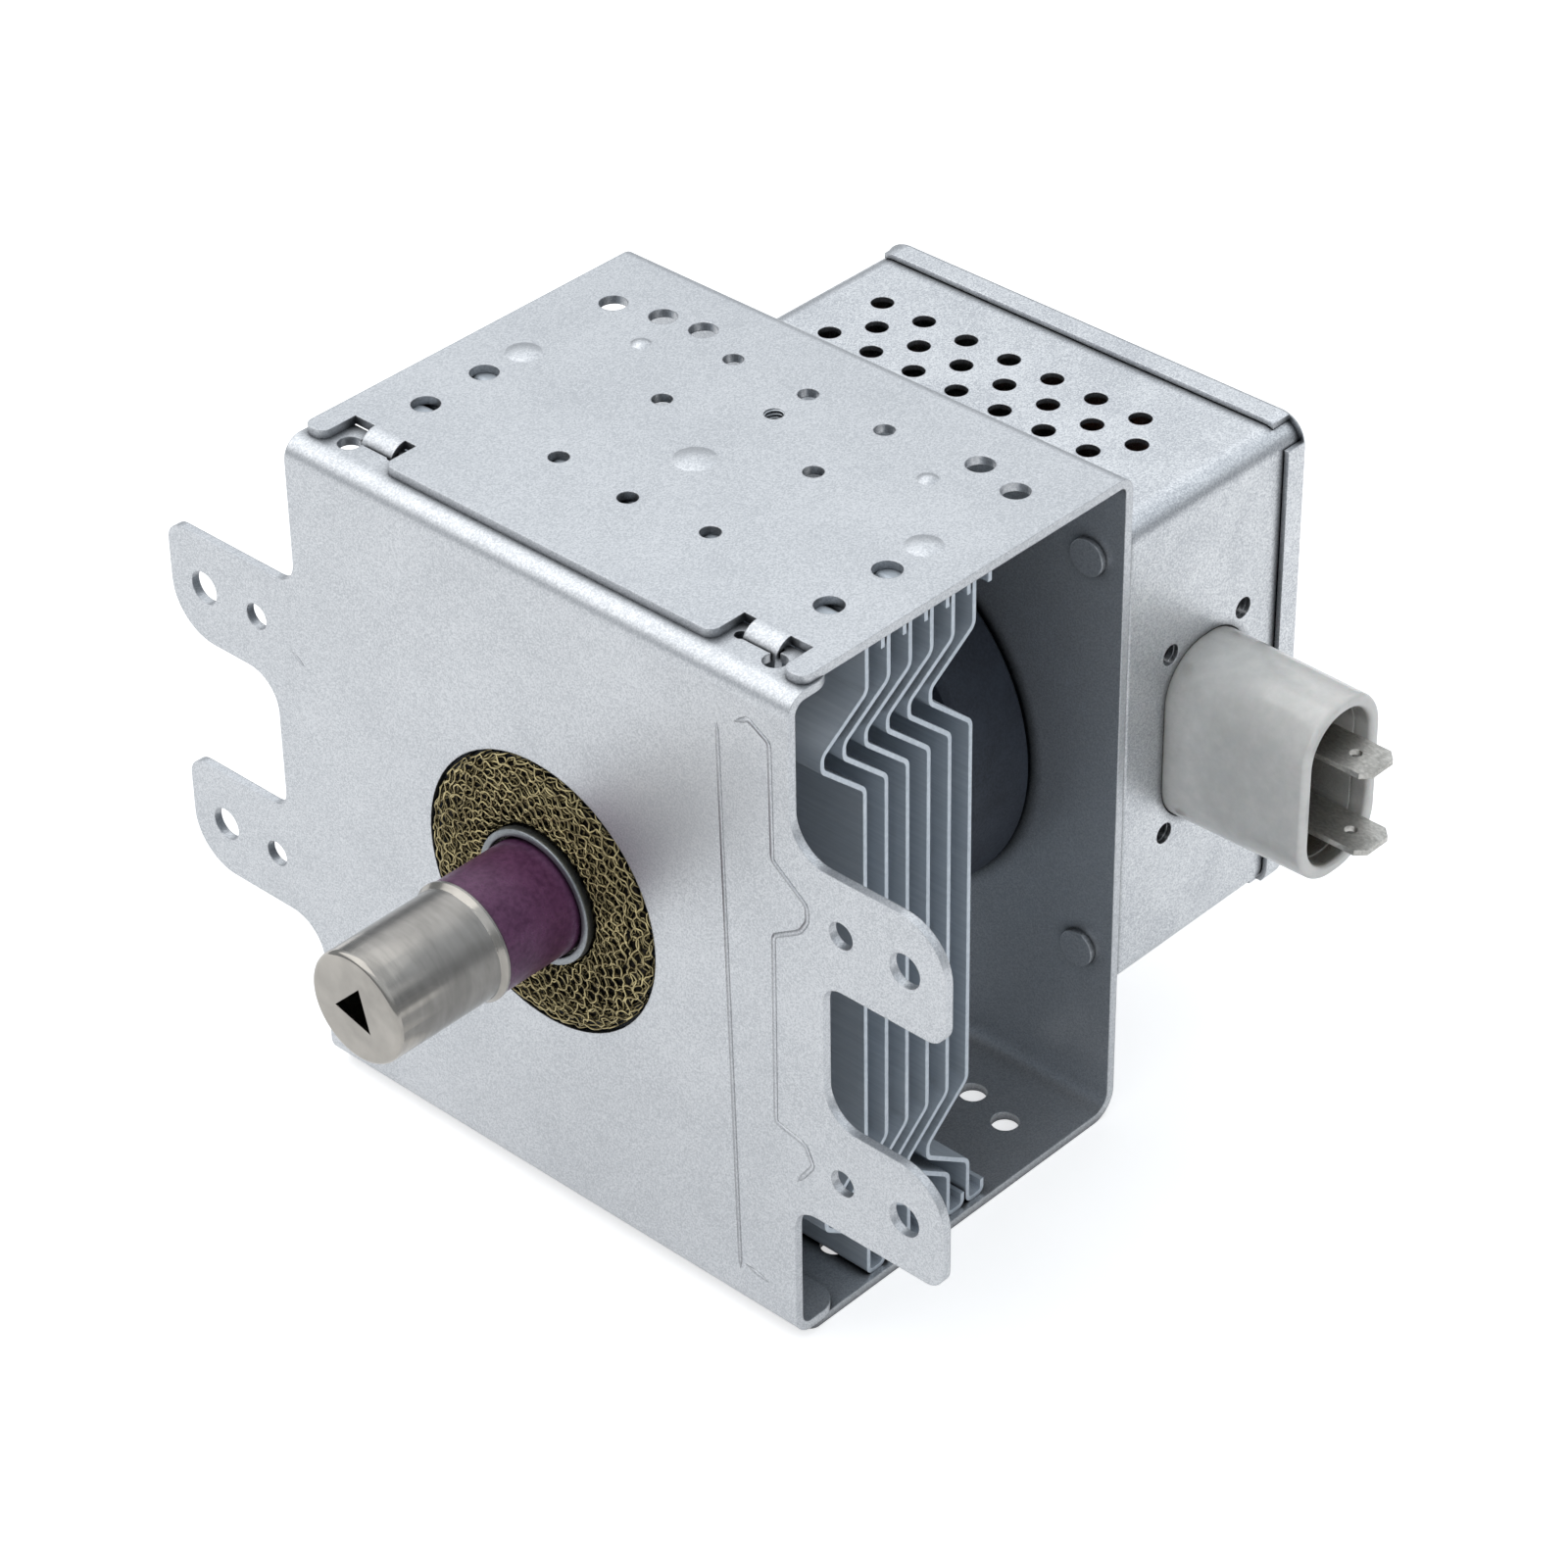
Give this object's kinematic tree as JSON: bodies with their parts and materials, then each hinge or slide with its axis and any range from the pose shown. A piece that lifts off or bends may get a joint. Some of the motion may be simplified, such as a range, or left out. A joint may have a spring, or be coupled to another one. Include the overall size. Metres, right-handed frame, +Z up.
{
  "type": "magnetron",
  "caption": "Air-cooled microwave tube in a folded steel bracket, with an antenna in front, kinked cooling fins, ring magnets and a filter box with a two-blade socket.",
  "frame": {"origin": "where the antenna's axis crosses the front plate's outer face", "axes": "+X towards the socket, +Y back from the front plate to the filter box, so the antenna stands out along -Y, +Z up"},
  "size_m": [0.1319, 0.1235, 0.0962],
  "materials": {
    "zinc_steel": "zinc-plated sheet, fine grain, satin",
    "zinc_steel_front": "zinc-plated sheet, fine grain, satin",
    "fin_aluminium": "rolled aluminium sheet, satin",
    "ferrite": "sintered ferrite, matt dark grey",
    "brass_mesh": "knitted wire, dull",
    "cup_steel": "plated steel, satin",
    "cap_steel": "drawn stainless steel, satin",
    "purple_ceramic": "alumina with a purple tint, matt",
    "white_ceramic": "white alumina, matt",
    "copper": "bare copper, satin",
    "molybdenum": "drawn metal, matt",
    "tin_plate": "dull tin plate",
    "box_steel": "zinc-plated sheet, fine grain, satin",
    "socket_plastic": "off-white moulded plastic, semi-gloss",
    "capacitor_plastic": "moulded plastic filled with resin",
    "enamelled_wire": "enamelled copper wire"
  },
  "bodies": {
    "root": {"bracket": "zinc_steel", "front_plate": "zinc_steel_front", "fin_1": "fin_aluminium", "fin_2": "fin_aluminium", "fin_3": "fin_aluminium", "fin_4": "fin_aluminium", "fin_5": "fin_aluminium", "fin_6": "fin_aluminium", "front_magnet": "ferrite", "rear_magnet": "ferrite", "gasket": "brass_mesh", "antenna_seal_cup": "cup_steel", "antenna_ceramic": "purple_ceramic", "antenna_cap": "cap_steel", "antenna_sleeve": "cup_steel", "exhaust_tube": "copper", "antenna_lead": "copper", "anode_cylinder": "copper", "anode_vanes": "copper", "strap_rings": "copper", "front_pole_piece": "cup_steel", "rear_pole_piece": "cup_steel", "front_end_hat": "molybdenum", "rear_end_hat": "molybdenum", "filament": "molybdenum", "centre_lead": "molybdenum", "side_lead": "molybdenum", "cathode_seal_cup": "cup_steel", "cathode_ceramic": "white_ceramic", "cathode_terminals": "tin_plate", "filter_box": "box_steel", "filter_cover": "box_steel", "box_rivets": "cup_steel", "socket_shell": "socket_plastic", "upper_blade": "tin_plate", "lower_blade": "tin_plate", "capacitor_earth_plate": "box_steel", "capacitor_body": "capacitor_plastic", "choke_cores": "ferrite", "choke_windings": "enamelled_wire"}
  },
  "joints": []
}
